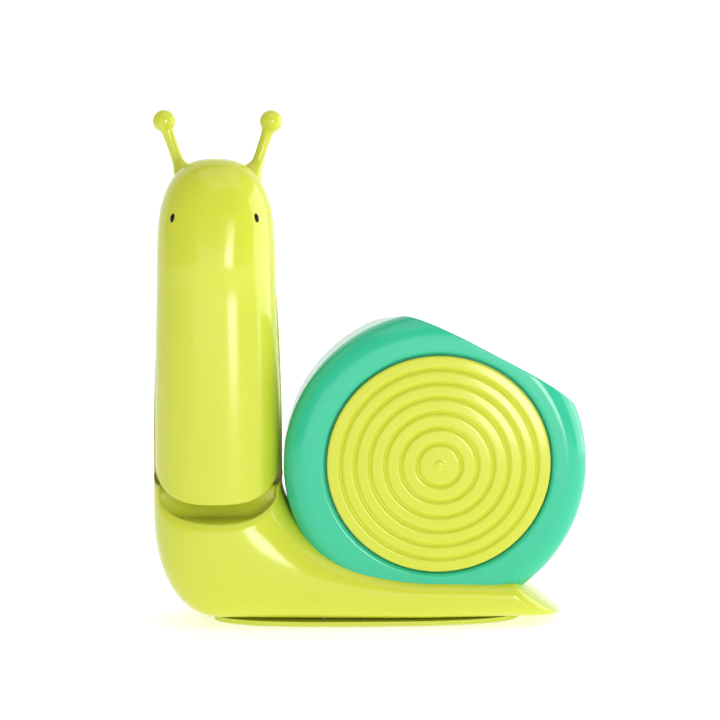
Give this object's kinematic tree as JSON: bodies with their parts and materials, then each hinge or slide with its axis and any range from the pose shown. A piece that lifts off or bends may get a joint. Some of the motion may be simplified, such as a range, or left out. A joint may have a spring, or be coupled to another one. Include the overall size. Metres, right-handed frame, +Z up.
{
  "type": "tape dispenser",
  "caption": "Snail-shaped desk tape dispenser with a teal shell, a ringed lime side cap and a small stapler in its upright neck.",
  "frame": {"origin": "on the ground, under the middle of the object's box", "axes": "+X from the neck towards the tail, +Y away from the front (the side with the ringed cap), +Z up"},
  "size_m": [0.116, 0.0346, 0.1373],
  "materials": {
    "lime_shell": "glossy moulded ABS",
    "olive_sole": "satin moulded ABS",
    "rubber_pad": "matt sheet rubber",
    "steel": "pressed and plated steel",
    "spring_steel": "drawn spring wire and strip",
    "teal_shell": "glossy moulded ABS",
    "black_eye": "glossy moulded ABS",
    "light_grey": "satin moulded acetal",
    "card": "spiral-wound card",
    "clear_tape": "wound clear adhesive tape"
  },
  "bodies": {
    "root": {"body_back_shell": "lime_shell", "body_front_shell": "lime_shell", "sole_plate": "olive_sole", "grip_pad": "rubber_pad", "ballast_weight": "steel", "sole_screw_1": "steel", "sole_screw_2": "steel", "sole_screw_3": "steel", "sole_screw_4": "steel", "shell_screw_1": "steel", "shell_screw_2": "steel", "shell_drum": "teal_shell", "shell_back": "teal_shell", "back_screw_1": "steel", "back_screw_2": "steel", "back_screw_3": "steel", "reel_spindle": "light_grey", "spindle_screw": "steel", "cutter_bar": "light_grey", "cutter_blade": "steel", "tape_lead": "clear_tape", "stapler_frame": "steel", "frame_screw_1": "steel", "frame_screw_2": "steel", "anvil_plate": "steel", "hinge_pin": "steel", "jaw_spring": "spring_steel"},
    "magazine": {"magazine_channel": "steel", "staple_rail": "steel", "staple_strip": "steel", "pusher_rod": "steel", "pusher_spring": "spring_steel"},
    "pusher": {"staple_pusher": "steel"},
    "cover": {"head_cover": "lime_shell", "eye_left": "black_eye", "eye_right": "black_eye", "driver_carrier": "spring_steel", "driver_blade": "steel"},
    "reel": {"reel_hub": "light_grey", "tape_core": "card", "tape_roll": "clear_tape"},
    "cap": {"side_cap": "lime_shell"}
  },
  "joints": [
    {"name": "magazine_hinge", "type": "hinge", "parent": "root", "child": "magazine", "pos_m": [-0.0403, -0.0098, 0.0372], "axis": [1, 0, 0], "range_deg": [-3.4, 0], "stiffness_Nm_per_rad": 0.6, "springref_deg": 6.88},
    {"name": "cover_hinge", "type": "hinge", "parent": "magazine", "child": "cover", "pos_m": [-0.0403, -0.0098, 0.0372], "axis": [1, 0, 0], "range_deg": [-5.2, 55]},
    {"name": "pusher_slide", "type": "slide", "parent": "magazine", "child": "pusher", "axis": [0, 0, 1], "range_m": [-0.022, 0], "stiffness_N_per_m": 60, "springref_m": 0.03, "deforming": ["pusher_spring"]},
    {"name": "reel_spin", "type": "hinge", "parent": "root", "child": "reel", "pos_m": [0.0183, 0, 0.0437], "axis": [0, 1, 0], "continuous": true},
    {"name": "cap_slide", "type": "slide", "parent": "root", "child": "cap", "axis": [0, -1, 0], "range_m": [0, 0.03]}
  ]
}
